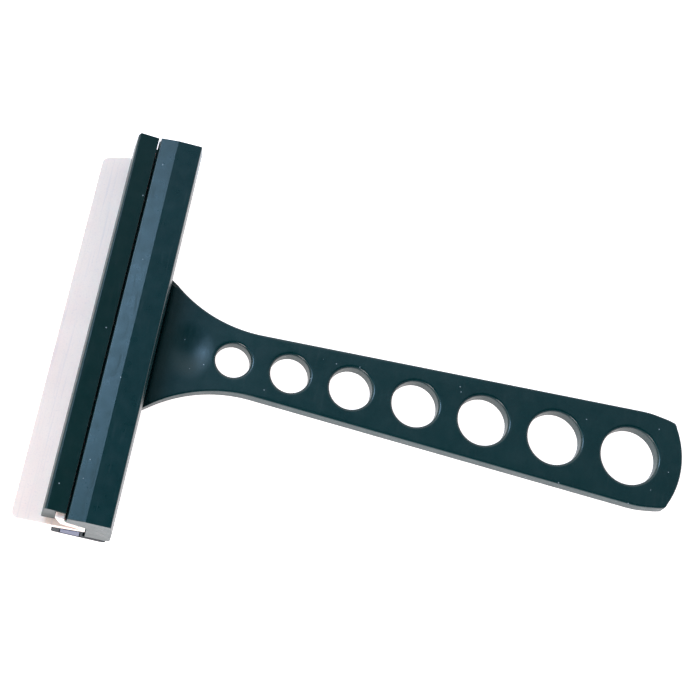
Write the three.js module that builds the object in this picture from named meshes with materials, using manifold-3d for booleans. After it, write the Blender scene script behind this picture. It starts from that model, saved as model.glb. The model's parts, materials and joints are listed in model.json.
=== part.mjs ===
// Window-cleaning squeegee: a flat handle with seven finger holes, a moulded head and a
// silicone blade that hooks round the tongue of a loose front strip. A clamp plate under
// the head pinches the blade's root against the head.
//
// Units are millimetres. X runs along the handle, from the blade to the hanging end,
// Y runs along the head and Z is up. The origin is in the middle of the footprint,
// on the surface that the head rests on.
import * as THREE from 'three';
import { mergeVertices } from 'three/addons/utils/BufferGeometryUtils.js';
import Module from 'manifold-3d';

const wasm = await Module();
wasm.setup();

// ---------------------------------------------------------------- driving dimensions
const GAP = 0.3;                 // clearance between pieces that seat on each other
const SEAT_GAP = 0.45;           // clearance round the soft blade's sloping seats

// Head body: x is measured from the datum where the handle leaves the head.
const HEAD_LENGTH = 160;
const HEAD_TOP = 25.1;
const BODY_BACK = 0.6;
const BODY_WEB_FRONT = -9.1;     // front face of the tall rear web
const BODY_BROW_FRONT = -16.8;   // front edge of the brow that overhangs the blade's root
const BROW_CREST = -9.85;        // where the level top turns into the sloping brow
const BROW_DROP = 1.3;
const BROW_THICKNESS = 5.5;      // at the brow's front edge
const BROW_LIP_REACH = 0.6;      // ledge that floors the groove in front of the brow
const BROW_LIP_DROP = 4.3;       // from the head's top to the ledge
const BROW_LIP_THICKNESS = 0.8;
const SLOT_HEIGHT = 6.6;         // from the jaw up to the slot's inner corner
const BACK_DRAFT = 0.9;
const DRAFT_START = 17;          // height where the back starts to lean
const BACK_BOTTOM_RADIUS = 2.2;

// Lower clamp: a jaw in front of the web and a thin flange under it.
const FLANGE_THICKNESS = 3.0;
const FLANGE_SETBACK = 1.6;      // from the body's back face
const FLANGE_BEVEL = 1.2;
const JAW_FRONT = -22;
const JAW_RELIEF = 0.9;          // open gap between the jaw and the web
const JAW_LIP_HEIGHT = 6.4;
const JAW_ROOT_HEIGHT = 9.4;

// Stiffener bar inside the jaw.
const JAW_WALL = 0.9;
const JAW_NOSE_WALL = 3.2;
const BAR_CORNER = 0.3;

// Front strip: a thin cover, a deep nose and a tongue that reaches back into the slot.
const STRIP_SHORTFALL = 2.4;     // how much shorter than the head it is
const STRIP_OFFSET = 0.7;        // the strip has crept along its slot
const GROOVE = 0.8;              // open line between the strip and the brow
const STRIP_FRONT = -26.7;
const STRIP_NOSE_LEAN = 0.9;
const STRIP_COVER = 1.2;
const STRIP_COVER_DROP = 0.9;
const STRIP_CORNER = 1.8;
const NOSE_DEPTH = 13.5;
const NOSE_WALL = 2.8;           // growth of the nose in front of the tongue's heel
const TONGUE_HEEL = -19.2;
const TONGUE_TIP_SETBACK = 3.0;  // from the web's front face
const TONGUE_HEEL_RISE = 7.3;    // above the jaw's lip
const TONGUE_TIP_RISE = 3.2;     // above the jaw's root
const TONGUE_THICKNESS = 1.1;

// Blade: the free lip, and the root that hooks round the tongue.
const BLADE_SHORTFALL = 5;       // the blade is pushed along until one end is flush
const BLADE_REACH = 15.8;        // free lip in front of the jaw
const BLADE_TIP_RISE = 0.2;
const BLADE_TIP_THICKNESS = 1.1;
const BLADE_NECK_THICKNESS = 2.7;
const BLADE_NECK_SETBACK = 2.5;  // where the neck thickness is measured, behind the jaw's lip
const BLADE_BLEND = 6;
const BLADE_CORNER = 3.0;
const BLADE_END_SLANT = 2.0;     // the far end of the lip is cut a little askew
const BLADE_SLANT_START = 6;

// Handle: a plate that widens from the neck to the hanging end.
const HANDLE_THICKNESS = 6.5;
const HANDLE_RAISE = 3.0;        // from the body's underside to the handle's
const HANDLE_END = 216.9;
const NECK_HALF_WIDTH = 11.13;   // half width that the straight edges give at the datum
const EDGE_SLOPE = 0.045;        // growth of the half width per millimetre of length
const NECK_FLARE_RADIUS = 56;
const NECK_FLARE_END = 41;
const SHOULDER_LENGTH = 14.9;
const SHOULDER_TUCK = 2.0;
const SHOULDER_SETBACK = 4.6;
const SHOULDER_RADIUS = 40;
const END_CORNER_RADIUS = 2;
const HANDLE_EDGE_RADIUS = 0.8;

// Finger holes: both the radius and the pitch grow towards the hanging end.
const HOLE_COUNT = 7;
const FIRST_HOLE_X = 30.97;
const LAST_HOLE_SETBACK = 22.13; // from the hanging end
const FIRST_HOLE_RADIUS = 7.0;
const HOLE_RADIUS_STEP = 0.81;
const PITCH_STEP = 1.72;

// Shallow dish in the neck, where the thumb rests.
const DISH_X = 13;
const DISH_RADIUS = 10.5;
const DISH_DEPTH = 0.7;

// Tang of the handle and its mortise in the web.
const TANG_SHOULDER = 0.75;      // step from the handle's faces to the tang's
const TANG_MARGIN = 7;           // beyond the outer handle screws
const TANG_ROOF = 1.0;           // material left above the pilot holes
const MORTISE_WALL = 1.5;

// Fasteners.
const SCREW_SETBACK = 4.1;       // from the web's front face to the screw line
const CLAMP_SCREW_MARGIN = 12;   // from the head's ends
const HANDLE_SCREW_PITCH = 14;
const CLAMP_SCREW = { headRadius: 2.5, headHeight: 1.5, shankRadius: 1.25, sunk: 0.2 };
const HANDLE_SCREW = { headRadius: 2.3, headHeight: 1.3, shankRadius: 1.1, sunk: 0.2 };
const SCREW_RIM = 0.1;
const SCREW_POINT = 0.4;
const INSERT_RADIUS = 2.3;
const INSERT_HEIGHT = 6.0;
const INSERT_COLLAR = 2.0;
const INSERT_WAIST = 0.35;
const HEX_RECESS_RADIUS = 0.85;
const HEX_RECESS_DEPTH = 0.8;

// Facets, and how far a cutting solid reaches past the face that it opens.
const MERGE_DISTANCE = 1e-3;
const ROUND_SEGMENTS = 20;
const HOLE_SEGMENTS = 44;
const ARC_STEPS_PER_RADIAN = 3;
const FLARE_STEPS = 12;
const END_ARC_STEPS = 16;
const DISH_STEPS = 4;
const OVERRUN = 1;

// ---------------------------------------------------------------- derived places
const halfWidthAt = (x) => NECK_HALF_WIDTH + EDGE_SLOPE * x;

const bodyBottom = FLANGE_THICKNESS + GAP;
const handleBottom = bodyBottom + HANDLE_RAISE;
const handleTop = handleBottom + HANDLE_THICKNESS;
const handleStart = BODY_BACK + GAP;
const jawBack = BODY_WEB_FRONT - JAW_RELIEF;
const jawSlope = (JAW_ROOT_HEIGHT - JAW_LIP_HEIGHT) / (jawBack - JAW_FRONT);
const jawTopAt = (x) => JAW_LIP_HEIGHT + jawSlope * (x - JAW_FRONT);
const browRoot = JAW_ROOT_HEIGHT + SLOT_HEIGHT;
const browUnderFront = HEAD_TOP - BROW_DROP - BROW_THICKNESS;
const browSlope = (browRoot - browUnderFront) / (BODY_WEB_FRONT - BODY_BROW_FRONT);
const browUnderAt = (x) => browRoot + browSlope * (x - BODY_WEB_FRONT);
const browLipFront = BODY_BROW_FRONT - BROW_LIP_REACH;
const browLipTop = HEAD_TOP - BROW_LIP_DROP;
const tangBottom = handleBottom + TANG_SHOULDER;
const tangTop = handleTop - TANG_SHOULDER;
const tangFront = BODY_WEB_FRONT + MORTISE_WALL + GAP;
const tangHalfWidth = HANDLE_SCREW_PITCH + TANG_MARGIN;
const screwLineX = BODY_WEB_FRONT + SCREW_SETBACK;
const outerClampScrewY = HEAD_LENGTH / 2 - CLAMP_SCREW_MARGIN;
const clampScrewYs = [-1, -0.5, 0.5, 1].map((share) => share * outerClampScrewY);
const handleScrewYs = [-1, 0, 1].map((step) => step * HANDLE_SCREW_PITCH);
const clampScrewTip = bodyBottom + INSERT_HEIGHT;
const handleScrewTip = tangTop - TANG_ROOF;
const stripLength = HEAD_LENGTH - STRIP_SHORTFALL;
const stripBack = BODY_BROW_FRONT - GROOVE;
const coverTop = HEAD_TOP - STRIP_COVER_DROP;
const tongueTip = BODY_WEB_FRONT - TONGUE_TIP_SETBACK;
const tongueHeelTop = JAW_LIP_HEIGHT + TONGUE_HEEL_RISE;
const tongueTipTop = JAW_ROOT_HEIGHT + TONGUE_TIP_RISE;
const innerNose = TONGUE_HEEL - NOSE_WALL;
const bladeTip = JAW_FRONT - BLADE_REACH;
const shoulderStart = HANDLE_END - SHOULDER_LENGTH;
const endHalfWidth = halfWidthAt(shoulderStart) - SHOULDER_TUCK;
const lastHoleX = HANDLE_END - LAST_HOLE_SETBACK;
const originX = (bladeTip + HANDLE_END) / 2;

// ---------------------------------------------------------------- outline helpers

// Closed shape through corners [a, b, radius]; a corner with a radius becomes a true arc.
function roundedShape(corners) {
  const points = corners.flatMap((corner, i) => {
    const before = corners.at(i - 1);
    const after = corners[(i + 1) % corners.length];
    return cornerPoints(corner, before, after);
  });
  const distinct = points.filter((point, i) => point.distanceTo(points.at(i - 1)) > MERGE_DISTANCE);
  return new THREE.Shape(THREE.ShapeUtils.isClockWise(distinct) ? distinct.reverse() : distinct);
}

function cornerPoints([a, b, radius = 0], before, after) {
  const corner = new THREE.Vector2(a, b);
  if (radius === 0) return [corner];
  const toBefore = new THREE.Vector2(before[0] - a, before[1] - b);
  const toAfter = new THREE.Vector2(after[0] - a, after[1] - b);
  const halfAngle = Math.abs(toBefore.angleTo(toAfter)) / 2;
  const reach = Math.min(radius / Math.tan(halfAngle), toBefore.length() / 2, toAfter.length() / 2);
  const fitted = reach * Math.tan(halfAngle);
  const start = corner.clone().addScaledVector(toBefore.normalize(), reach);
  const end = corner.clone().addScaledVector(toAfter.normalize(), reach);
  const bisector = toBefore.clone().add(toAfter).normalize();
  const centre = corner.clone().addScaledVector(bisector, fitted / Math.sin(halfAngle));
  const from = start.clone().sub(centre).angle();
  let turn = end.clone().sub(centre).angle() - from;
  if (turn > Math.PI) turn -= 2 * Math.PI;
  if (turn < -Math.PI) turn += 2 * Math.PI;
  const steps = Math.max(2, Math.ceil(Math.abs(turn) * ARC_STEPS_PER_RADIAN));
  return Array.from({ length: steps + 1 }, (_, i) => {
    const angle = from + (turn * i) / steps;
    return new THREE.Vector2(Math.cos(angle), Math.sin(angle)).multiplyScalar(fitted).add(centre);
  });
}

function circlePath(x, y, radius) {
  const path = new THREE.Path();
  path.absarc(x, y, radius, 0, 2 * Math.PI, true);
  return path;
}

// Extrusion of an (x, z) section along Y, centred on the handle's centre line.
function extrudeSection(shape, length) {
  const geometry = new THREE.ExtrudeGeometry(shape, { depth: length, bevelEnabled: false });
  geometry.rotateX(Math.PI / 2);
  geometry.translate(0, length / 2, 0);
  return geometry;
}

// Extrusion of an (x, y) plan outline from one height to another.
function extrudePlan(shape, bottom, top, edgeRadius = 0) {
  const geometry = new THREE.ExtrudeGeometry(shape, {
    depth: top - bottom - 2 * edgeRadius,
    curveSegments: HOLE_SEGMENTS / 2,
    bevelEnabled: edgeRadius > 0,
    bevelThickness: edgeRadius,
    bevelSize: edgeRadius,
    bevelOffset: -edgeRadius,
    bevelSegments: 2,
  });
  geometry.translate(0, 0, bottom + edgeRadius);
  return geometry;
}

function box(x0, x1, y0, y1, z0, z1) {
  const geometry = new THREE.BoxGeometry(x1 - x0, y1 - y0, z1 - z0);
  geometry.translate((x0 + x1) / 2, (y0 + y1) / 2, (z0 + z1) / 2);
  return geometry;
}

// Solid of revolution about a vertical axis, from [radius, z] profile points.
function turned(profile, x, y, segments = ROUND_SEGMENTS) {
  const points = profile.map(([r, z]) => new THREE.Vector2(r, z));
  const geometry = new THREE.LatheGeometry(points, segments);
  geometry.rotateX(Math.PI / 2);
  geometry.translate(x, y, 0);
  return geometry;
}

// ---------------------------------------------------------------- solid helpers

function toSolid(geometry) {
  const bare = geometry.clone();
  bare.deleteAttribute('normal');
  bare.deleteAttribute('uv');
  const merged = mergeVertices(bare, MERGE_DISTANCE / 10);
  return new wasm.Manifold(new wasm.Mesh({
    numProp: 3,
    vertProperties: new Float32Array(merged.attributes.position.array),
    triVerts: new Uint32Array(merged.index.array),
  }));
}

function toGeometry(solid) {
  const { vertProperties, triVerts } = solid.getMesh();
  const geometry = new THREE.BufferGeometry();
  geometry.setAttribute('position', new THREE.BufferAttribute(vertProperties, 3));
  geometry.setIndex(new THREE.BufferAttribute(triVerts, 1));
  geometry.computeVertexNormals();
  return geometry;
}

const cut = (geometry, tools) =>
  toGeometry(tools.reduce((solid, tool) => solid.subtract(toSolid(tool)), toSolid(geometry)));
const join = (first, second) => toGeometry(toSolid(first).add(toSolid(second)));
const keepInside = (geometry, limit) => toGeometry(toSolid(geometry).intersect(toSolid(limit)));
const pin = (x, y, radius, z0, z1) => turned([[0, z0], [radius, z0], [radius, z1], [0, z1]], x, y);

// ---------------------------------------------------------------- handle

// One side of the plan, from the head to the corner beside the hanging end.
function handleSide() {
  const tilt = Math.atan(EDGE_SLOPE);
  const centre = new THREE.Vector2(
    NECK_FLARE_END - NECK_FLARE_RADIUS * Math.sin(tilt),
    halfWidthAt(NECK_FLARE_END) + NECK_FLARE_RADIUS * Math.cos(tilt),
  );
  const first = Math.acos((handleStart - centre.x) / NECK_FLARE_RADIUS);
  const last = Math.PI / 2 - tilt;
  const flare = Array.from({ length: FLARE_STEPS + 1 }, (_, i) => {
    const angle = first + ((last - first) * i) / FLARE_STEPS;
    return [
      centre.x + NECK_FLARE_RADIUS * Math.cos(angle),
      centre.y - NECK_FLARE_RADIUS * Math.sin(angle),
    ];
  });
  const shoulder = [shoulderStart, halfWidthAt(shoulderStart), SHOULDER_RADIUS];
  const corner = [HANDLE_END - SHOULDER_SETBACK, endHalfWidth, END_CORNER_RADIUS];
  return [...flare, shoulder, corner];
}

// Shallow arc between the two corners of the hanging end.
function handleEndArc() {
  const halfChord = endHalfWidth - END_CORNER_RADIUS;
  const sagitta = SHOULDER_SETBACK - HANDLE_EDGE_RADIUS;
  const radius = (halfChord ** 2 + sagitta ** 2) / (2 * sagitta);
  const sweep = Math.asin(halfChord / radius);
  return Array.from({ length: END_ARC_STEPS + 1 }, (_, i) => {
    const angle = sweep - (2 * sweep * i) / END_ARC_STEPS;
    return [HANDLE_END - radius + radius * Math.cos(angle), radius * Math.sin(angle)];
  });
}

function fingerHoles() {
  const meanPitch = (lastHoleX - FIRST_HOLE_X) / (HOLE_COUNT - 1);
  const firstPitch = meanPitch - (PITCH_STEP * (HOLE_COUNT - 2)) / 2;
  const holes = [];
  let x = FIRST_HOLE_X;
  for (let i = 0; i < HOLE_COUNT; i += 1) {
    holes.push({ x, radius: FIRST_HOLE_RADIUS + HOLE_RADIUS_STEP * i });
    x += firstPitch + PITCH_STEP * i;
  }
  return holes;
}

// Tool that hollows the dish out of the handle's upper face.
function dishTool() {
  const bowlRadius = (DISH_RADIUS ** 2 + DISH_DEPTH ** 2) / (2 * DISH_DEPTH);
  const sweep = Math.asin(DISH_RADIUS / bowlRadius);
  const bowl = Array.from({ length: DISH_STEPS + 1 }, (_, i) => {
    const angle = (sweep * i) / DISH_STEPS;
    return [bowlRadius * Math.sin(angle), handleTop - DISH_DEPTH + bowlRadius * (1 - Math.cos(angle))];
  });
  const lid = [[DISH_RADIUS, handleTop + OVERRUN], [0, handleTop + OVERRUN]];
  return turned([...bowl, ...lid], DISH_X, 0, HOLE_SEGMENTS);
}

function makeHandle() {
  const side = handleSide();
  const mirrored = side.map(([x, y, radius]) => [x, -y, radius]).reverse();
  const outline = roundedShape([...side, ...handleEndArc(), ...mirrored]);
  outline.holes = fingerHoles().map(({ x, radius }) => circlePath(x, 0, radius));
  const plate = extrudePlan(outline, handleBottom, handleTop, HANDLE_EDGE_RADIUS);
  const tangRoot = handleStart + 2 * HANDLE_EDGE_RADIUS;
  const tang = box(tangFront, tangRoot, -tangHalfWidth, tangHalfWidth, tangBottom, tangTop);
  const pilots = handleScrewYs.map((y) =>
    pin(screwLineX, y, HANDLE_SCREW.shankRadius + GAP, handleBottom, handleScrewTip + GAP));
  return cut(join(plate, tang), [...pilots, dishTool()]);
}

// ---------------------------------------------------------------- head body

function headSection() {
  return roundedShape([
    [BODY_BACK, bodyBottom, BACK_BOTTOM_RADIUS],
    [BODY_BACK, DRAFT_START],
    [BODY_BACK - BACK_DRAFT, HEAD_TOP, 0.7],
    [BROW_CREST, HEAD_TOP, 1.2],
    [BODY_BROW_FRONT, HEAD_TOP - BROW_DROP, 0.6],
    [BODY_BROW_FRONT, browLipTop],
    [browLipFront, browLipTop],
    [browLipFront, browLipTop - BROW_LIP_THICKNESS],
    [BODY_BROW_FRONT, browUnderFront, 0.6],
    [BODY_WEB_FRONT, browRoot, 0.6],
    [BODY_WEB_FRONT, bodyBottom],
  ]);
}

function makeHeadBody() {
  const mortise = box(
    tangFront - GAP, BODY_BACK + OVERRUN,
    -tangHalfWidth - GAP, tangHalfWidth + GAP, tangBottom - GAP, tangTop + GAP,
  );
  const insertBores = clampScrewYs.map((y) =>
    pin(screwLineX, y, INSERT_RADIUS + GAP, bodyBottom - OVERRUN, bodyBottom + INSERT_HEIGHT + 2 * GAP));
  const screwSeats = handleScrewYs.map((y) => countersink(HANDLE_SCREW, y, bodyBottom, tangBottom));
  return cut(extrudeSection(headSection(), HEAD_LENGTH), [mortise, ...insertBores, ...screwSeats]);
}

// ---------------------------------------------------------------- fasteners

// Space for a countersunk screw that enters a face at height z from below.
function countersink({ headRadius, headHeight, shankRadius, sunk }, y, z, top) {
  const coneTop = z + sunk + headHeight;
  return turned([
    [0, z - OVERRUN],
    [headRadius + GAP, z - OVERRUN],
    [headRadius + GAP, z + sunk],
    [shankRadius + GAP, coneTop],
    [shankRadius + GAP, top],
    [0, top],
  ], screwLineX, y);
}

function makeScrew({ headRadius, headHeight, shankRadius, sunk }, y, faceZ, tip) {
  const base = faceZ + sunk;
  const screw = turned([
    [0, base],
    [headRadius - SCREW_RIM, base],
    [headRadius, base + SCREW_RIM],
    [shankRadius, base + headHeight],
    [shankRadius, tip - SCREW_POINT],
    [shankRadius - SCREW_POINT, tip],
    [0, tip],
  ], screwLineX, y);
  const recess = turned([
    [0, base - OVERRUN],
    [HEX_RECESS_RADIUS, base - OVERRUN],
    [HEX_RECESS_RADIUS, base + HEX_RECESS_DEPTH],
    [0, base + HEX_RECESS_DEPTH],
  ], screwLineX, y, 6);
  return cut(screw, [recess]);
}

// Threaded brass insert, with a waist that the moulded body grips.
function makeInsert(y) {
  const bottom = bodyBottom + GAP;
  const top = bottom + INSERT_HEIGHT;
  const bore = CLAMP_SCREW.shankRadius + GAP;
  const waistRadius = INSERT_RADIUS - INSERT_WAIST;
  return turned([
    [bore, bottom],
    [INSERT_RADIUS, bottom],
    [INSERT_RADIUS, bottom + INSERT_COLLAR],
    [waistRadius, bottom + INSERT_COLLAR + INSERT_WAIST],
    [waistRadius, top - INSERT_COLLAR - INSERT_WAIST],
    [INSERT_RADIUS, top - INSERT_COLLAR],
    [INSERT_RADIUS, top],
    [bore, top],
    [bore, bottom],
  ], screwLineX, y);
}

// ---------------------------------------------------------------- lower clamp and its bar

// Channel corners, moved inwards by a clearance for the bar.
function channelCorners(clearance) {
  const front = JAW_FRONT + JAW_NOSE_WALL + clearance;
  const back = jawBack - JAW_WALL - clearance;
  const bottom = JAW_WALL + clearance;
  const roof = JAW_WALL + clearance;
  return [
    [front, bottom, BAR_CORNER],
    [back, bottom, BAR_CORNER],
    [back, jawTopAt(back) - roof, BAR_CORNER],
    [front, jawTopAt(front) - roof, BAR_CORNER],
  ];
}

function makeLowerClamp() {
  const flangeBack = BODY_BACK - FLANGE_SETBACK;
  const section = roundedShape([
    [JAW_FRONT, 0, 1.0],
    [flangeBack - FLANGE_BEVEL, 0],
    [flangeBack, FLANGE_BEVEL],
    [flangeBack, FLANGE_THICKNESS],
    [jawBack, FLANGE_THICKNESS, 0.4],
    [jawBack, JAW_ROOT_HEIGHT, 0.5],
    [JAW_FRONT, JAW_LIP_HEIGHT, 0.8],
  ]);
  section.holes = [new THREE.Path(roundedShape(channelCorners(0)).getPoints())];
  const seats = clampScrewYs.map((y) => countersink(CLAMP_SCREW, y, 0, FLANGE_THICKNESS + OVERRUN));
  const accessHoles = handleScrewYs.map((y) =>
    pin(screwLineX, y, HANDLE_SCREW.headRadius + 2 * GAP, -OVERRUN, FLANGE_THICKNESS + OVERRUN));
  return cut(extrudeSection(section, HEAD_LENGTH), [...seats, ...accessHoles]);
}

const makeStiffenerBar = () => extrudeSection(roundedShape(channelCorners(GAP)), HEAD_LENGTH);

// ---------------------------------------------------------------- front strip

function stripSection() {
  const coverBottom = coverTop - STRIP_COVER;
  return roundedShape([
    [stripBack, coverTop, 0.4],
    [STRIP_FRONT + STRIP_NOSE_LEAN, HEAD_TOP, 1.2],
    [STRIP_FRONT, HEAD_TOP - NOSE_DEPTH, 0.5],
    [TONGUE_HEEL, tongueHeelTop - TONGUE_THICKNESS],
    [tongueTip, tongueTipTop - TONGUE_THICKNESS, 0.4],
    [tongueTip, tongueTipTop, 0.4],
    [TONGUE_HEEL, tongueHeelTop, 0.5],
    [innerNose, coverBottom + (HEAD_TOP - coverTop) / 2, 0.8],
    [stripBack, coverBottom, 0.4],
  ]);
}

// Plan limit that cuts the strip's outer corner at its far end.
function stripPlan() {
  const near = STRIP_OFFSET - stripLength / 2;
  const far = STRIP_OFFSET + stripLength / 2;
  return roundedShape([
    [0, near],
    [0, far],
    [STRIP_FRONT + STRIP_CORNER, far],
    [STRIP_FRONT, far - STRIP_CORNER],
    [STRIP_FRONT, near, 0.5],
  ]);
}

const makeFrontStrip = () => keepInside(
  extrudeSection(stripSection(), HEAD_LENGTH + 2 * OVERRUN),
  extrudePlan(stripPlan(), 0, HEAD_TOP + OVERRUN),
);

// ---------------------------------------------------------------- blade

function bladeSection() {
  const bladeRoot = BODY_WEB_FRONT - GAP;
  const jawSeat = (x) => jawTopAt(x) + SEAT_GAP;
  const browSeat = (x) => browUnderAt(x) - SEAT_GAP;
  const neckX = JAW_FRONT + BLADE_NECK_SETBACK;
  const tipBottom = JAW_LIP_HEIGHT + BLADE_TIP_RISE;
  const hookTop = coverTop - STRIP_COVER - GAP;
  const hookBack = browLipFront - GAP;
  const hookFront = innerNose + SEAT_GAP;
  return roundedShape([
    [bladeTip, tipBottom, 0.3],
    [JAW_FRONT, jawSeat(JAW_FRONT), BLADE_BLEND],
    [jawBack, jawSeat(jawBack)],
    [bladeRoot, jawSeat(bladeRoot) + GAP, 0.4],
    [bladeRoot, browSeat(bladeRoot), 0.5],
    [BODY_BROW_FRONT, browSeat(BODY_BROW_FRONT), 0.5],
    [hookBack, browLipTop - BROW_LIP_THICKNESS - SEAT_GAP],
    [hookBack, hookTop, 0.5],
    [hookFront, hookTop, 0.8],
    [TONGUE_HEEL + GAP, tongueHeelTop + 2 * GAP, 0.4],
    [tongueTip + GAP, tongueTipTop + GAP, 0.5],
    [tongueTip + GAP, tongueTipTop - TONGUE_THICKNESS - GAP, 0.3],
    [neckX, jawSeat(neckX) + BLADE_NECK_THICKNESS, BLADE_BLEND],
    [bladeTip, tipBottom + BLADE_TIP_THICKNESS, 0.3],
  ]);
}

// Plan limit that rounds the lip's corners and cuts its far end askew.
function bladePlan() {
  const near = -HEAD_LENGTH / 2;
  const far = HEAD_LENGTH / 2 - BLADE_SHORTFALL;
  return roundedShape([
    [0, near],
    [0, far],
    [JAW_FRONT - BLADE_SLANT_START, far],
    [bladeTip, far - BLADE_END_SLANT, BLADE_CORNER],
    [bladeTip, near, BLADE_CORNER],
  ]);
}

const makeBlade = () => keepInside(
  extrudeSection(bladeSection(), HEAD_LENGTH + 2 * OVERRUN),
  extrudePlan(bladePlan(), 0, HEAD_TOP),
);

// ---------------------------------------------------------------- assembly

const finish = (color, roughness, metalness = 0) =>
  new THREE.MeshStandardMaterial({ color, roughness, metalness });
const moulding = finish(0x17343a, 0.42);
const stripMoulding = finish(0x223533, 0.45);
const silicone = finish(0xe7e2e5, 0.5);
const aluminium = finish(0x96a5be, 0.4, 0.9);
const steel = finish(0xb4b6ba, 0.3, 1);
const brass = finish(0xb8924a, 0.35, 1);

const group = new THREE.Group();
group.position.x = -originX;

function place(name, geometry, material) {
  const mesh = new THREE.Mesh(geometry, material);
  mesh.name = name;
  group.add(mesh);
}

place('handle', makeHandle(), moulding);
place('head_body', makeHeadBody(), moulding);
place('front_strip', makeFrontStrip(), stripMoulding);
place('wiper_blade', makeBlade(), silicone);
place('lower_clamp', makeLowerClamp(), moulding);
place('stiffener_bar', makeStiffenerBar(), aluminium);
clampScrewYs.forEach((y, i) => {
  place(`clamp_screw_${i + 1}`, makeScrew(CLAMP_SCREW, y, 0, clampScrewTip), steel);
  place(`clamp_insert_${i + 1}`, makeInsert(y), brass);
});
handleScrewYs.forEach((y, i) => {
  place(`handle_screw_${i + 1}`, makeScrew(HANDLE_SCREW, y, bodyBottom, handleScrewTip), steel);
});

export default group;
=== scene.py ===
import json
from math import ceil, cos, hypot, pi, radians, sin, tau

import bmesh
import bpy
from mathutils import Matrix, Vector
from mathutils.geometry import delaunay_2d_cdt

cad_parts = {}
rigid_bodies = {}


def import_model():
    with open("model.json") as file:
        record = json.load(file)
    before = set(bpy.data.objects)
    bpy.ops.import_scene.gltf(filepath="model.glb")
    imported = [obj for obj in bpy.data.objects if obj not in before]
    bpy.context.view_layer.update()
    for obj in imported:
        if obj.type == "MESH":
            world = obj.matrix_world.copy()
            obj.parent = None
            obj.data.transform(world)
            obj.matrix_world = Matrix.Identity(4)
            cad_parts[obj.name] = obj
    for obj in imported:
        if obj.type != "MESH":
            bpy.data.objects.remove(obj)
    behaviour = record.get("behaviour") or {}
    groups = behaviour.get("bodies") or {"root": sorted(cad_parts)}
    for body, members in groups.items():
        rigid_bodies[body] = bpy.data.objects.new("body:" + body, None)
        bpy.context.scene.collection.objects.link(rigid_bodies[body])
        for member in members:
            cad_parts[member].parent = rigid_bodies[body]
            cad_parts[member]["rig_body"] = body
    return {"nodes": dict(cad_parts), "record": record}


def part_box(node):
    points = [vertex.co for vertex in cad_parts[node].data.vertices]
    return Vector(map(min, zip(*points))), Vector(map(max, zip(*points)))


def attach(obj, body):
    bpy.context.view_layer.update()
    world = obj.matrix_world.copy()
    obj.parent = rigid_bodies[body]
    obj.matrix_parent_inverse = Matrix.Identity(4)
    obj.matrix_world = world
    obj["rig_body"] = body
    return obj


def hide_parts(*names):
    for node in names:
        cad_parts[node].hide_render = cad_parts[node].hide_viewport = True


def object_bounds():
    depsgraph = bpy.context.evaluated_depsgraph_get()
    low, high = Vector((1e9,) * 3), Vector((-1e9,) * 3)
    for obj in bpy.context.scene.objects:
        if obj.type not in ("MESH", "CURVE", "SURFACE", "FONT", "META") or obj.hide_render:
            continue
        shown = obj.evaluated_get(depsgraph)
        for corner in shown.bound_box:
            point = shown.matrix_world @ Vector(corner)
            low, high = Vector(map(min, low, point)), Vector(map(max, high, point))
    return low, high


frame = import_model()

cad_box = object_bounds()
nodes = frame["nodes"]
slots = {part["node"]: part["material_slot"] for part in frame["record"]["subparts"]}
MM = 0.001
NEAR = 0.01 * MM             # points this close to a plane lie on it


# ---------------------------------------------------------------- camera, light and floor

CAMERA_POSITION = (-98.6 * MM, -247.0 * MM, 701.4 * MM)
CAMERA_TARGET = (-14.25 * MM, 15.42 * MM, 12.8 * MM)
CAMERA_ROLL = 11.257         # degrees
CAMERA_LENS = 96.0           # millimetres
FLOOR_HALF_SIZE = 3.0
FLOOR_GAP = 0.2 * MM         # below the part's lowest point
FLOOR_COLOUR = (0.9, 0.9, 0.9, 1)
FLOOR_ROUGHNESS = 0.8
FLOOR_GLOW_COLOUR = (1, 0.92, 0.91, 1)
FLOOR_GLOW = 1.15


def look_from(position, target, roll, lens):
    """A camera at position that looks at target, turned about its own line of sight by roll degrees."""
    data = bpy.data.cameras.new("camera")
    data.lens = lens
    camera = bpy.data.objects.new("camera", data)
    bpy.context.scene.collection.objects.link(camera)
    forward = (Vector(target) - Vector(position)).normalized()
    right = forward.cross(Vector((0, 1, 0))).normalized()
    axes = Matrix((right, right.cross(forward), -forward)).transposed()
    turned = axes @ Matrix.Rotation(radians(roll), 3, "Z")
    camera.matrix_world = Matrix.Translation(position) @ turned.to_4x4()
    bpy.context.scene.camera = camera


def soft_light(name, direction, distance, size, power, colour):
    """A round softbox that shines on the head from a direction."""
    data = bpy.data.lights.new(name, "AREA")
    data.shape = "DISK"
    data.size = size
    data.energy = power
    data.color = colour
    light = bpy.data.objects.new(name, data)
    low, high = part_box("head_body")
    target = (low + high) / 2
    towards = Vector(direction).normalized()
    light.location = target + towards * distance
    light.rotation_euler = towards.to_track_quat("Z", "Y").to_euler()
    bpy.context.scene.collection.objects.link(light)


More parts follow.
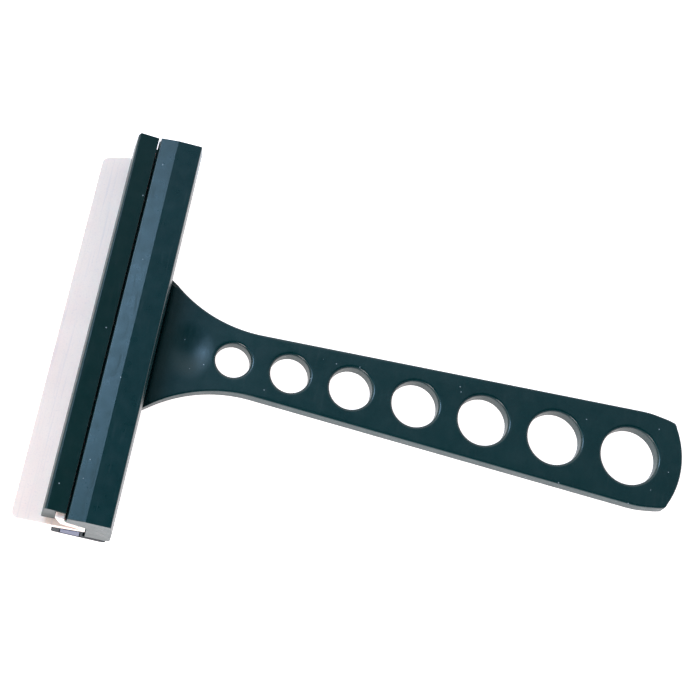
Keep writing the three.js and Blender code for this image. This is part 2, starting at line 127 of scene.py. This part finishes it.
def make_world(pole, stops):
    """A studio whose colour depends on how near a direction is to the pole; stops are (nearness, colour)."""
    world = bpy.data.worlds.new("studio")
    world.use_nodes = True
    tree = world.node_tree
    background = tree.nodes["Background"]
    direction = tree.nodes.new("ShaderNodeTexCoord")
    nearness = tree.nodes.new("ShaderNodeVectorMath")
    nearness.operation = "DOT_PRODUCT"
    nearness.inputs[1].default_value = Vector(pole).normalized()
    ramp = tree.nodes.new("ShaderNodeValToRGB")
    ramp.color_ramp.interpolation = "EASE"
    elements = ramp.color_ramp.elements
    while len(elements) < len(stops):
        elements.new(0.5)
    for element, (position, colour) in zip(elements, stops):
        element.position = position
        element.color = (*colour, 1)
    tree.links.new(direction.outputs["Generated"], nearness.inputs[0])
    tree.links.new(nearness.outputs["Value"], ramp.inputs["Fac"])
    tree.links.new(ramp.outputs["Color"], background.inputs["Color"])
    bpy.context.scene.world = world


def floor_material():
    """A surface that glows enough to stay white, also where the part shades it."""
    material = bpy.data.materials.new("floor")
    material.use_nodes = True
    shader = material.node_tree.nodes["Principled BSDF"]
    shader.inputs["Base Color"].default_value = FLOOR_COLOUR
    shader.inputs["Roughness"].default_value = FLOOR_ROUGHNESS
    shader.inputs["Emission Color"].default_value = FLOOR_GLOW_COLOUR
    shader.inputs["Emission Strength"].default_value = FLOOR_GLOW
    return material


def make_floor():
    """A square floor just below the part, staged so that it isn't one of its pieces."""
    mesh = bpy.data.meshes.new("floor")
    signs = ((-1, -1), (1, -1), (1, 1), (-1, 1))
    corners = [(x * FLOOR_HALF_SIZE, y * FLOOR_HALF_SIZE, 0) for x, y in signs]
    mesh.from_pydata(corners, [], [(0, 1, 2, 3)])
    floor = bpy.data.objects.new("floor", mesh)
    floor.location.z = cad_box[0][2] - FLOOR_GAP
    bpy.context.scene.collection.objects.link(floor)
    mesh.materials.append(floor_material())


look_from(CAMERA_POSITION, CAMERA_TARGET, CAMERA_ROLL, CAMERA_LENS)
soft_light(
    "window", direction=(-0.5, 0.34, 0.8), distance=1.1, size=0.45, power=4.7,
    colour=(0.40, 0.66, 0.98))
soft_light(
    "fill", direction=(-0.3, -0.85, 0.45), distance=0.5, size=0.3, power=1.35,
    colour=(1.0, 0.90, 0.90))
make_world(
    pole=(0.20, -0.34, 0.92),
    stops=[(0.30, (1.45, 1.45, 1.45)), (0.58, (0.30, 0.56, 0.76)), (0.78, (0.01, 0.02, 0.02))])
make_floor()
bpy.context.scene.view_settings.view_transform = "Standard"


# ---------------------------------------------------------------- materials

MIX_COLOURS = (6, 7)         # a Mix node's colour inputs
MIX_RESULT = 2               # and its colour output
DUST_COLOUR = (0.28, 0.33, 0.36)
EDGE_WEAR = 0.55             # how far a worn edge goes towards the worn colour
POLISH = 0.5                 # the share of its roughness that a round loses


class Surface:
    """A Principled material and the procedural nodes that feed it, in the object's own metres."""

    def __init__(self, name):
        self.material = bpy.data.materials.new(name)
        self.material.use_nodes = True
        self.tree = self.material.node_tree
        self.shader = self.tree.nodes["Principled BSDF"]
        texture = self.add("ShaderNodeTexCoord")
        self.coordinates = texture.outputs["Object"]
        self.normal = texture.outputs["Normal"]

    def add(self, kind, **settings):
        """A new node with its settings."""
        node = self.tree.nodes.new(kind)
        for key, value in settings.items():
            setattr(node, key, value)
        return node

    def link(self, source, target):
        """Feeds an input from an output."""
        self.tree.links.new(source, target)

    def set(self, **values):
        """Sets the shader's own sockets; an underscore stands for a space."""
        for key, value in values.items():
            self.shader.inputs[key.replace("_", " ")].default_value = value

    def noise(self, size, detail=3.0, stretch=(1, 1, 1)):
        """Noise with features of about the given size; stretch lengthens them along an axis."""
        mapping = self.add("ShaderNodeMapping")
        mapping.inputs["Scale"].default_value = [1 / s for s in stretch]
        noise = self.add("ShaderNodeTexNoise")
        noise.inputs["Scale"].default_value = 1 / size
        noise.inputs["Detail"].default_value = detail
        self.link(self.coordinates, mapping.inputs["Vector"])
        self.link(mapping.outputs["Vector"], noise.inputs["Vector"])
        return noise.outputs["Fac"]

    def remap(self, value, source, target=(0.0, 1.0)):
        """A value carried from one range to another and kept inside it."""
        node = self.add("ShaderNodeMapRange", clamp=True)
        sockets = ("From Min", "From Max", "To Min", "To Max")
        for socket, number in zip(sockets, (*source, *target)):
            node.inputs[socket].default_value = number
        self.link(value, node.inputs["Value"])
        return node.outputs["Result"]

    def calculate(self, operation, *values):
        """The result of a Math node; each value is a number or the output of a node."""
        node = self.add("ShaderNodeMath", operation=operation)
        for socket, value in zip(node.inputs, values):
            if isinstance(value, (int, float)):
                socket.default_value = value
            else:
                self.link(value, socket)
        return node.outputs[0]

    def blend(self, factor, first, second):
        """A colour between two; each is a colour or the output of a node."""
        node = self.add("ShaderNodeMix", data_type="RGBA")
        self.link(factor, node.inputs["Factor"])
        for index, colour in zip(MIX_COLOURS, (first, second)):
            if isinstance(colour, tuple):
                node.inputs[index].default_value = (*colour, 1)
            else:
                self.link(colour, node.inputs[index])
        return node.outputs[MIX_RESULT]

    def worn_edges(self, radius):
        """0 on flat surfaces, rising to 1 on edges."""
        rounded = self.add("ShaderNodeBevel", samples=6)
        rounded.inputs["Radius"].default_value = radius
        geometry = self.add("ShaderNodeNewGeometry")
        agreement = self.add("ShaderNodeVectorMath", operation="DOT_PRODUCT")
        self.link(rounded.outputs["Normal"], agreement.inputs[0])
        self.link(geometry.outputs["Normal"], agreement.inputs[1])
        return self.remap(agreement.outputs["Value"], (0.98, 0.75))

    def rounds(self):
        """1 on the rounds between level faces and upright ones, and 0 on both."""
        split = self.add("ShaderNodeSeparateXYZ")
        self.link(self.normal, split.inputs[0])
        level = self.calculate("ABSOLUTE", split.outputs["Z"])
        off_level = self.remap(level, (0.975, 0.94))
        off_upright = self.remap(level, (0.2, 0.5))
        return self.calculate("MULTIPLY", off_level, off_upright)

    def specks(self, spacing, radius, share):
        """Sparse round specks, in a share of the cells of a given spacing."""
        cells = self.add("ShaderNodeTexVoronoi")
        cells.inputs["Scale"].default_value = 1 / spacing
        self.link(self.coordinates, cells.inputs["Vector"])
        split = self.add("ShaderNodeSeparateColor")
        self.link(cells.outputs["Color"], split.inputs["Color"])
        chosen = self.calculate("LESS_THAN", split.outputs["Red"], share)
        near = self.calculate("LESS_THAN", cells.outputs["Distance"], radius / spacing)
        return self.calculate("MULTIPLY", chosen, near)

    def bump(self, height, distance, strength):
        """Tilts the surface as if it were raised by the height, where a height of 1 is the distance."""
        node = self.add("ShaderNodeBump")
        node.inputs["Distance"].default_value = distance
        node.inputs["Strength"].default_value = strength
        self.link(height, node.inputs["Height"])
        self.link(node.outputs["Normal"], self.shader.inputs["Normal"])

    def colour(self, value):
        """Feeds the shader's colour."""
        self.link(value, self.shader.inputs["Base Color"])

    def roughness(self, value):
        """Feeds the shader's roughness."""
        self.link(value, self.shader.inputs["Roughness"])


def plastic_colour(surface, dark, light, worn):
    """Two tones mottled by fine grain and by the plastic's flow, worn edges, and specks of dust."""
    grain = surface.noise(size=0.45 * MM, detail=2.0)
    mottle = surface.noise(size=14 * MM, detail=4.0, stretch=(2.5, 1, 1))
    tone = surface.calculate("MULTIPLY_ADD", grain, 0.75, surface.calculate("MULTIPLY", mottle, 0.45))
    base = surface.blend(surface.remap(tone, (0.35, 0.9)), dark, light)
    patches = surface.remap(surface.noise(size=3 * MM), (0.35, 0.65), (0.25, 0.9))
    edges = surface.calculate("MULTIPLY", surface.worn_edges(radius=0.5 * MM), patches)
    base = surface.blend(surface.calculate("MULTIPLY", edges, EDGE_WEAR), base, worn)
    dust = surface.specks(spacing=5 * MM, radius=0.26 * MM, share=0.6)
    surface.colour(surface.blend(dust, base, DUST_COLOUR))


def plastic_gloss(surface, rough):
    """Satin patches and fine scuffs, with the rounds polished by handling, over a spark-eroded grain."""
    scuffs = surface.noise(size=0.9 * MM, detail=2.0, stretch=(1, 14, 1))
    scuffs = surface.remap(scuffs, (0.60, 0.70), (0.0, 0.10))
    satin = surface.remap(surface.noise(size=5 * MM), (0.3, 0.7), (rough - 0.04, rough + 0.05))
    polish = surface.calculate("MULTIPLY", surface.rounds(), rough * POLISH)
    scuffed = surface.calculate("ADD", satin, scuffs)
    surface.roughness(surface.calculate("SUBTRACT", scuffed, polish))
    surface.bump(surface.noise(size=0.22 * MM, detail=2.0), distance=0.02 * MM, strength=0.5)


def moulded_plastic(name, dark, light, worn, rough, ior=1.5, specular=0.5):
    """Dark injection-moulded plastic."""
    surface = Surface(name)
    surface.set(IOR=ior, Specular_IOR_Level=specular)
    plastic_colour(surface, dark, light, worn)
    plastic_gloss(surface, rough)
    return surface.material


def silicone(name):
    """Milky silicone rubber: extrusion lines along the blade, a little pink and grey mottling."""
    surface = Surface(name)
    surface.set(
        IOR=1.41, Subsurface_Weight=0.35, Subsurface_Radius=(1.0, 0.75, 0.8),
        Subsurface_Scale=1.2 * MM)
    lines = surface.noise(size=0.8 * MM, detail=2.0, stretch=(1, 40, 1))
    grain = surface.noise(size=0.5 * MM, detail=3.0)
    cloud = surface.noise(size=22 * MM, detail=3.0)
    base = surface.blend(
        surface.remap(cloud, (0.35, 0.65)), (0.96, 0.825, 0.735), (0.91, 0.785, 0.71))
    base = surface.blend(surface.remap(grain, (0.55, 0.72), (0.0, 0.35)), base, (0.66, 0.60, 0.63))
    lined = surface.remap(lines, (0.55, 0.7), (0.0, 0.22))
    surface.colour(surface.blend(lined, base, (0.62, 0.59, 0.62)))
    surface.roughness(surface.remap(cloud, (0.3, 0.7), (0.38, 0.52)))
    surface.bump(surface.calculate("ADD", grain, lines), distance=0.03 * MM, strength=0.35)
    return surface.material


def brushed_metal(name, base, light, rough, stretch):
    """Metal with fine tool marks along the stretched axis."""
    surface = Surface(name)
    surface.set(Metallic=1.0)
    marks = surface.noise(size=0.12 * MM, detail=2.0, stretch=stretch)
    stain = surface.noise(size=4 * MM, detail=3.0)
    shade = surface.remap(surface.calculate("ADD", marks, stain), (0.7, 1.3))
    surface.colour(surface.blend(shade, base, light))
    surface.roughness(surface.remap(marks, (0.3, 0.7), (rough - 0.07, rough + 0.1)))
    surface.bump(marks, distance=0.01 * MM, strength=0.5)
    return surface.material


materials = {
    "moulding": moulded_plastic(
        "moulding", dark=(0.001, 0.021, 0.023), light=(0.003, 0.033, 0.036),
        worn=(0.10, 0.15, 0.17), rough=0.30),
    "handle_moulding": moulded_plastic(
        "handle_moulding", dark=(0.002, 0.024, 0.026), light=(0.005, 0.038, 0.040),
        worn=(0.10, 0.15, 0.17), rough=0.37),
    "strip_moulding": moulded_plastic(
        "strip_moulding", dark=(0.001, 0.017, 0.016), light=(0.003, 0.026, 0.025),
        worn=(0.08, 0.11, 0.13), rough=0.36, ior=1.40, specular=0.45),
    # The lower clamp's plastic is a darker copy of the moulding: painted shade for the clamp's end, which
    # sits in shadow.
    "clamp_moulding_painted_shade": moulded_plastic(
        "clamp_moulding_painted_shade", dark=(0.003, 0.010, 0.014), light=(0.006, 0.016, 0.022),
        worn=(0.05, 0.07, 0.08), rough=0.62, ior=1.38),
    "silicone": silicone("silicone"),
    "aluminium": brushed_metal(
        "aluminium", base=(0.085, 0.105, 0.18), light=(0.13, 0.155, 0.25), rough=0.4,
        stretch=(1, 60, 1)),
    "steel": brushed_metal(
        "steel", base=(0.50, 0.50, 0.52), light=(0.68, 0.68, 0.70), rough=0.28, stretch=(1, 1, 8)),
    "brass": brushed_metal(
        "brass", base=(0.50, 0.34, 0.12), light=(0.70, 0.50, 0.22), rough=0.32, stretch=(1, 1, 6)),
}
# The handle has a moulding of its own; the lower clamp takes the darker copy, painted shade.
own_finish_or_painted_shade = {"handle": "handle_moulding", "lower_clamp": "clamp_moulding_painted_shade"}


def finish(node):
    """A node's material: that of its slot, but two pieces of the slot moulding have one of their own; the
    lower clamp's is a darker copy, as painted shade.
    """
    return materials[own_finish_or_painted_shade.get(node, slots[node])]


# ---------------------------------------------------------------- mesh helpers

SHARP_ANGLE = radians(42)    # edges that turn more than this stay sharp
CORNER_ANGLE = radians(28)   # edges that turn more than this are softened
FLAT_ANGLE = radians(0.6)    # faces that turn less than this are one face
WELD_DISTANCE = 0.002 * MM
LONG_EDGE = 2.5 * MM         # longer than the edges round a bore
SOFTEN_STEPS = 3


def stand_for(node, bm):
    """A finished mesh becomes the visible piece for a CAD node."""
    bmesh.ops.recalc_face_normals(bm, faces=bm.faces)
    mesh = bpy.data.meshes.new("fine_" + node)
    bm.to_mesh(mesh)
    bm.free()
    for polygon in mesh.polygons:
        polygon.use_smooth = True
    mesh.set_sharp_from_angle(angle=SHARP_ANGLE)
    mesh.materials.append(finish(node))
    piece = bpy.data.objects.new("fine_" + node, mesh)
    bpy.context.scene.collection.objects.link(piece)
    even = piece.modifiers.new("even_normals", "WEIGHTED_NORMAL")
    even.keep_sharp = True
    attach(piece, nodes[node]["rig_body"])
    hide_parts(node)


def welded(node):
    """The CAD node's mesh with its split corners merged and its flat faces dissolved."""
    bm = bmesh.new()
    bm.from_mesh(nodes[node].data)
    bmesh.ops.remove_doubles(bm, verts=bm.verts, dist=WELD_DISTANCE)
    bmesh.ops.dissolve_limit(
        bm, angle_limit=FLAT_ANGLE, verts=bm.verts, edges=bm.edges, use_dissolve_boundaries=False)
    return bm


def soften(node, width):
    """Rounds a CAD node's long edges and its end outlines; small bores keep their crisp rims."""
    bm = welded(node)
    low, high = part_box(node)

    def wanted(edge):
        if len(edge.link_faces) != 2 or edge.calc_face_angle(0) < CORNER_ANGLE:
            return False
        at_end = any(all(abs(v.co.y - y) < NEAR for v in edge.verts) for y in (low.y, high.y))
        return at_end or edge.calc_length() > LONG_EDGE

    chosen = [edge for edge in bm.edges if wanted(edge)]
    bmesh.ops.bevel(
        bm, geom=chosen, offset=width, offset_type="OFFSET", segments=SOFTEN_STEPS, profile=0.5,
        affect="EDGES", clamp_overlap=False)
    stand_for(node, bm)


def bridge(bm, below, above):
    """The faces between two rings of corners."""
    for i in range(len(below)):
        j = (i + 1) % len(below)
        bm.faces.new((below[i], below[j], above[j], above[i]))


soften("head_body", width=0.22 * MM)
soften("front_strip", width=0.16 * MM)
soften("lower_clamp", width=0.2 * MM)
soften("stiffener_bar", width=0.12 * MM)
soften("wiper_blade", width=0.12 * MM)


# ---------------------------------------------------------------- handle

EDGE_RADIUS = 0.8 * MM
RIM_RADIUS = 1.3 * MM        # round the holes, above
UNDER_RIM_RADIUS = 0.5 * MM  # and below
EDGE_STEPS = 6
WALL_STEPS = 4
HOLE_POINTS = 120
SHORT_EDGE = 8.0 * MM        # longer edges of the outline are straight
GENTLE_BEND = radians(30)    # sharper bends of the outline are corners
MITRE_LIMIT = 0.4
DISH_CENTRE = 13.2 * MM      # from the head's back face
DISH_REACH = (10.0 * MM, 13.0 * MM)
DISH_DEPTH = 1.5 * MM
RAMP_START = 7.0 * MM        # the upper face falls a little from the grip to the head
RAMP_LENGTH = 44.0 * MM
RAMP_DEPTH = 1.2 * MM
ROLL_REACH = 2.7 * MM        # and rolls down into the joint with the head
ROLL_DEPTH = 1.0 * MM
ROLL_ROWS = 7                # rows of points that carry the roll
ROLL_ROW_STEP = 0.4 * MM
SEAT_CLOSING = 0.25 * MM     # the plate's end reaches this much of the gap to the head
CAP_GRID = 1.2 * MM          # between the points that carry the dish and the ramp
CAP_CLEARANCE = 0.35 * MM    # between those points and a rim
CONVEX_HULL = 0              # what the triangulation returns
SAME_POINT = 1e-7
TANG_RADIUS = 0.2 * MM
TANG_INSET = 0.5 * MM        # corners this far beyond the plate's end belong to the tang
TANG_SAVING = 0.3 * MM       # the tang already starts below the upper face, so it drops this much less


def level_loops(bm, z):
    """The loops of corners that a mesh has at height z; one that is open starts and ends at its gap."""
    near = 0.004 * MM
    level = {v for v in bm.verts if abs(v.co.z - z) < near}
    steps = {v: [e.other_vert(v) for e in v.link_edges if e.other_vert(v) in level] for v in level}
    starts = sorted(level, key=lambda v: (len(steps[v]), v.index))
    loops = []
    for start in starts:
        loop = []
        following = [start] if start in level else []
        while following:
            loop.append(following[0])
            level.discard(following[0])
            following = [v for v in steps[loop[-1]] if v in level]
        if loop:
            loops.append([Vector((v.co.x, v.co.y)) for v in loop])
    return loops


def smooth_loop(loop):
    """The loop with a point added on each short edge that bends gently at both ends."""
    count = len(loop)
    edges = [loop[(i + 1) % count] - loop[i] for i in range(count)]
    units = [edge.normalized() for edge in edges]

    def tangent(i):
        before, after = edges[i - 1], edges[i]
        if before.length > SHORT_EDGE or after.length > SHORT_EDGE:
            return units[i - 1] if before.length > after.length else units[i]
        return (units[i - 1] / before.length + units[i] / after.length).normalized()

    points = []
    for i in range(count):
        points.append(loop[i])
        after = (i + 1) % count
        bends = max(units[i - 1].angle(units[i]), units[i].angle(units[after]))
        if edges[i].length < SHORT_EDGE and bends < GENTLE_BEND:
            bow = (tangent(i) - tangent(after)) * edges[i].length / 8
            points.append((loop[i] + loop[after]) / 2 + bow)
    return points


def inset(loop, distance):
    """A counter-clockwise loop moved inwards by a distance."""
    moved = []
    for i, point in enumerate(loop):
        before = (point - loop[i - 1]).normalized()
        after = (loop[(i + 1) % len(loop)] - point).normalized()
        normals = [Vector((-d.y, d.x)) for d in (before, after)]
        mitre = (normals[0] + normals[1]).normalized()
        moved.append(point + mitre * distance / max(mitre.dot(normals[0]), MITRE_LIMIT))
    return moved


def flush(ring, outline, back):
    """The ring with its points along the plate's end kept on that end."""
    return [Vector((back, p.y)) if q.x - back < NEAR else p for p, q in zip(ring, outline)]


def area(loop):
    """The area of a loop, below zero when it runs clockwise."""
    return sum(a.cross(b) for a, b in zip(loop, loop[1:] + loop[:1])) / 2


def middle_of(points):
    """The mean of some flat points."""
    return sum(points, Vector((0, 0))) / len(points)


def inside(point, loop):
    """Whether a point lies in a closed loop."""
    crossings = 0
    for a, b in zip(loop, loop[1:] + loop[:1]):
        if (a.y > point.y) != (b.y > point.y):
            crossings += point.x < a.x + (point.y - a.y) * (b.x - a.x) / (b.y - a.y)
    return crossings % 2 == 1


def edge_profile(low, high, under, over):
    """(height, inset) of each ring of a wall; its rims are rounded by under below and by over above."""
    rounds = [i / EDGE_STEPS * pi / 2 for i in range(EDGE_STEPS + 1)]
    straight = high - low - under - over
    lower = [(low + under * (1 - sin(a)), under * (1 - cos(a))) for a in reversed(rounds)]
    walls = [(low + under + straight * i / WALL_STEPS, 0) for i in range(1, WALL_STEPS)]
    upper = [(high - over * (1 - sin(a)), over * (1 - cos(a))) for a in rounds]
    return lower + walls + upper


def circle(centre, radius):
    """The points of a hole's ring."""
    angles = [tau * i / HOLE_POINTS for i in range(HOLE_POINTS)]
    return [centre + Vector((cos(a), sin(a))) * radius for a in angles]


def swell(share):
    """A smooth fall from 1 to 0 as the share goes from 0 to 1."""
    return (1 + cos(pi * min(max(share, 0), 1))) / 2


def sunk(x, y, back):
    """How far the thumb dish, the ramp and the roll lower the upper face at a point."""
    length = x - back
    dish = DISH_DEPTH * swell(hypot((length - DISH_CENTRE) / DISH_REACH[0], y / DISH_REACH[1]))
    ramp = RAMP_DEPTH * swell((length - RAMP_START) / RAMP_LENGTH)
    near = 1 - min(max(length / ROLL_REACH, 0), 1)
    return dish + ramp + ROLL_DEPTH * (1 - (1 - near ** 2) ** 0.5)


def sink_upper_face(bm, low, high, back):
    """Lowers the plate's upper face, and its walls in proportion down to the middle."""
    middle = (low + high) / 2
    for v in bm.verts:
        share = (v.co.z - middle) / (high - middle)
        if share > 0:
            v.co.z -= share * sunk(v.co.x, v.co.y, back)


def shaped_points(back, half_width):
    """Points fine enough to carry the roll, the dish and the ramp; every other row is half a step along."""
    rows = [back + ROLL_ROW_STEP * i for i in range(1, ROLL_ROWS + 1)]
    first = rows[-1] + CAP_GRID
    last = back + max(DISH_CENTRE + DISH_REACH[0], RAMP_START + RAMP_LENGTH)
    rows += [first + CAP_GRID * i for i in range(ceil((last - first) / CAP_GRID))]
    columns = ceil(half_width / CAP_GRID)
    points = []
    for i, x in enumerate(rows):
        points += [Vector((x, (j + 0.5 * (i % 2)) * CAP_GRID)) for j in range(-columns, columns)]
    return points


def cap(bm, rims, height, extra):
    """Fills the face between the rims, with extra points inside it."""
    outline = [v.co.xy for v in rims[0]]
    holes = [(middle_of([v.co.xy for v in rim]), rim) for rim in rims[1:]]

    def open_face(point, margin):
        return inside(point, outline) and all(
            (point - centre).length > (rim[0].co.xy - centre).length + margin for centre, rim in holes)

    corners = [v for rim in rims for v in rim]
    edges = []
    for rim in rims:
        first = len(edges)
        edges += [(first + i, first + (i + 1) % len(rim)) for i in range(len(rim))]
    flat = [v.co.xy for v in corners] + [point for point in extra if open_face(point, CAP_CLEARANCE)]
    points, _, faces, origins, _, _ = delaunay_2d_cdt(flat, edges, [], CONVEX_HULL, SAME_POINT)
    verts = []
    for point, sources in zip(points, origins):
        rim_sources = [k for k in sources if k < len(corners)]
        verts.append(corners[rim_sources[0]] if rim_sources else bm.verts.new((*point, height)))
    for face in faces:
        if open_face(middle_of([points[i] for i in face]), 0):
            bm.faces.new([verts[i] for i in face])


def joined(first, second):
    """Two closed meshes made one; both are freed."""
    objects = []
    for bm in (first, second):
        bmesh.ops.recalc_face_normals(bm, faces=bm.faces)
        mesh = bpy.data.meshes.new("work")
        bm.to_mesh(mesh)
        bm.free()
        objects.append(bpy.data.objects.new("work", mesh))
        bpy.context.scene.collection.objects.link(objects[-1])
    modifier = objects[0].modifiers.new("join", "BOOLEAN")
    modifier.object = objects[1]
    modifier.operation = "UNION"
    modifier.solver = "EXACT"
    result = bmesh.new()
    result.from_object(objects[0], bpy.context.evaluated_depsgraph_get())
    for item in objects:
        mesh = item.data
        bpy.data.objects.remove(item)
        bpy.data.meshes.remove(mesh)
    return result


def tang_block(coarse, back):
    """The tang that reaches into the head, with its edges broken and its top below the rolled face."""
    corners = [v.co for v in coarse.verts if v.co.x < back - TANG_INSET]
    low = Vector([min(c[i] for c in corners) for i in range(3)])
    high = Vector([max(c[i] for c in corners) for i in range(3)])
    high.x = back + 2 * EDGE_RADIUS
    high.z -= RAMP_DEPTH + ROLL_DEPTH - TANG_SAVING
    block = Matrix.Translation((low + high) / 2) @ Matrix.Diagonal((*(high - low), 1))
    bm = bmesh.new()
    bmesh.ops.create_cube(bm, size=1, matrix=block)
    bmesh.ops.bevel(
        bm, geom=bm.edges[:], offset=TANG_RADIUS, offset_type="OFFSET", segments=2, profile=0.5,
        affect="EDGES")
    return bm


def plate_outline(loop):
    """The plate's outline, counter-clockwise and smooth, and where its end is, in the gap to the head."""
    loop = loop if area(loop) > 0 else loop[::-1]
    loop = smooth_loop(smooth_loop(loop))
    back = min(p.x for p in loop) - SEAT_CLOSING
    reach = 1.1 * SEAT_CLOSING
    return [Vector((back, p.y)) if p.x - back < reach else p for p in loop], back


def hole_rings(loop, profile):
    """The rings of a round hole that runs through the corners of a loop."""
    centre = middle_of(loop)
    radius = max((p - centre).length for p in loop)
    return [circle(centre, radius + distance) for _, distance in profile]


def raise_wall(bm, rings, profile):
    """A wall through rings at the profile's heights; returns its lowest ring and its highest."""
    raised = [[bm.verts.new((p.x, p.y, z)) for p in ring] for ring, (z, _) in zip(rings, profile)]
    for below, above in zip(raised, raised[1:]):
        bridge(bm, below, above)
    return raised[0], raised[-1]


def make_handle():
    """The plate with its walls, holes and sunk upper face, joined with its tang."""
    coarse = welded("handle")
    low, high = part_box("handle")
    loops = level_loops(coarse, high.z - EDGE_RADIUS)
    loops.sort(key=lambda loop: abs(area(loop)), reverse=True)
    outline, back = plate_outline(loops[0])
    plate = edge_profile(low.z, high.z, EDGE_RADIUS, EDGE_RADIUS)
    rim = edge_profile(low.z, high.z, UNDER_RIM_RADIUS, RIM_RADIUS)
    walls = [(plate, [flush(inset(outline, distance), outline, back) for _, distance in plate])]
    walls += [(rim, hole_rings(loop, rim)) for loop in loops[1:]]
    bm = bmesh.new()
    ends = [raise_wall(bm, rings, profile) for profile, rings in walls]
    cap(bm, [lowest for lowest, _ in ends], low.z, [])
    cap(bm, [highest for _, highest in ends], high.z, shaped_points(back, (high.y - low.y) / 2))
    sink_upper_face(bm, low.z, high.z, back)
    bm = joined(bm, tang_block(coarse, back))
    coarse.free()
    stand_for("handle", bm)


make_handle()


# ---------------------------------------------------------------- screws and inserts

TURNED_POINTS = 48
THREAD_STEPS = 8             # rings in one turn of a thread
SCREW_RIM = 0.12 * MM        # the break of a screw head's edges
SOCKET_POINT = 0.2 * MM      # the drill's point at the bottom of a socket


def turned(axis, rings):
    """A surface through rings of (height, radius), open at both ends; a radius may depend on the angle."""
    bm = bmesh.new()
    loops = []
    for height, radius in rings:
        loop = []
        for i in range(TURNED_POINTS):
            angle = tau * i / TURNED_POINTS
            r = radius(angle) if callable(radius) else radius
            loop.append(bm.verts.new((axis.x + r * cos(angle), axis.y + r * sin(angle), height)))
        loops.append(loop)
    for below, above in zip(loops, loops[1:]):
        bridge(bm, below, above)
    return bm, loops


def close_end(bm, loop, height):
    """A fan of faces from a ring to a point on the axis."""
    centre = bm.verts.new(sum((v.co for v in loop), Vector()) / len(loop))
    centre.co.z = height
    for i in range(len(loop)):
        bm.faces.new((loop[i], loop[(i + 1) % len(loop)], centre))


def hexagon(corner_radius):
    """The radius of a hexagon at each angle."""
    flat = corner_radius * cos(pi / 6)
    return lambda angle: flat / cos((angle % (pi / 3)) - pi / 6)


def thread(shank, depth, phase):
    """The radius of a cut thread at each angle; the phase goes from 0 to 1 in one turn."""
    return lambda angle: shank - depth * (0.5 - 0.5 * cos(tau * phase - angle))


def make_screw(node, head_height, socket_radius, socket_depth, pitch, thread_depth):
    """A countersunk socket screw with a cut thread, head down."""
    low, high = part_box(node)
    axis = (low + high) / 2
    head_radius = (high.x - low.x) / 2
    corners = [v.co for v in nodes[node].data.vertices if v.co.z > low.z + head_height + NEAR]
    shank = max(hypot(c.x - axis.x, c.y - axis.y) for c in corners)
    neck = low.z + head_height
    tip = high.z
    rings = [
        (low.z + socket_depth, hexagon(socket_radius)),
        (low.z + SCREW_RIM / 2, hexagon(socket_radius)),
        (low.z, hexagon(socket_radius + SCREW_RIM / 2)),
        (low.z, head_radius - SCREW_RIM),
        (low.z + SCREW_RIM / 3, head_radius - SCREW_RIM / 3),
        (low.z + SCREW_RIM, head_radius),
        (neck, shank),
        (neck + pitch / 2, shank),
    ]
    start = neck + pitch
    for k in range(int((tip - pitch - start) / pitch * THREAD_STEPS)):
        rings.append((start + k * pitch / THREAD_STEPS, thread(shank, thread_depth, k / THREAD_STEPS)))
    rings += [(tip - pitch / 2, shank - thread_depth), (tip, shank - 2 * thread_depth)]
    bm, loops = turned(axis, rings)
    close_end(bm, loops[0], low.z + socket_depth + SOCKET_POINT)
    close_end(bm, loops[-1], tip)
    stand_for(node, bm)


def make_insert(node, bore_radius, collar, waist, knurls, knurl_depth):
    """A brass insert: two knurled collars either side of a waist, open right through."""
    low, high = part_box(node)
    axis = (low + high) / 2
    outer = (high.x - low.x) / 2
    chamfer = 0.25 * MM

    def knurled(angle):
        return outer - knurl_depth * (0.5 - 0.5 * cos(knurls * angle))

    rings = [
        (low.z + chamfer, bore_radius),
        (low.z, bore_radius + chamfer),
        (low.z, outer - chamfer),
        (low.z + chamfer, knurled),
        (low.z + collar, knurled),
        (low.z + collar + waist, outer - waist),
        (high.z - collar - waist, outer - waist),
        (high.z - collar, knurled),
        (high.z - chamfer, knurled),
        (high.z, outer - chamfer),
        (high.z, bore_radius + chamfer),
        (high.z - chamfer, bore_radius),
    ]
    bm, loops = turned(axis, rings)
    first, last = loops[0], loops[-1]
    for i in range(TURNED_POINTS):
        j = (i + 1) % TURNED_POINTS
        bm.faces.new((first[j], first[i], last[i], last[j]))
    stand_for(node, bm)


for name in sorted(nodes):
    if name.startswith("clamp_screw"):
        make_screw(
            name, head_height=1.5 * MM, socket_radius=0.85 * MM, socket_depth=0.8 * MM,
            pitch=0.45 * MM, thread_depth=0.16 * MM)
    elif name.startswith("handle_screw"):
        make_screw(
            name, head_height=1.3 * MM, socket_radius=0.85 * MM, socket_depth=0.8 * MM,
            pitch=0.8 * MM, thread_depth=0.22 * MM)
    elif name.startswith("clamp_insert"):
        make_insert(
            name, bore_radius=1.55 * MM, collar=2.0 * MM, waist=0.35 * MM, knurls=12,
            knurl_depth=0.15 * MM)

# The CAD nodes, which the pieces above stand for, take the same finishes.
for name, node in nodes.items():
    node.data.materials.clear()
    node.data.materials.append(finish(name))
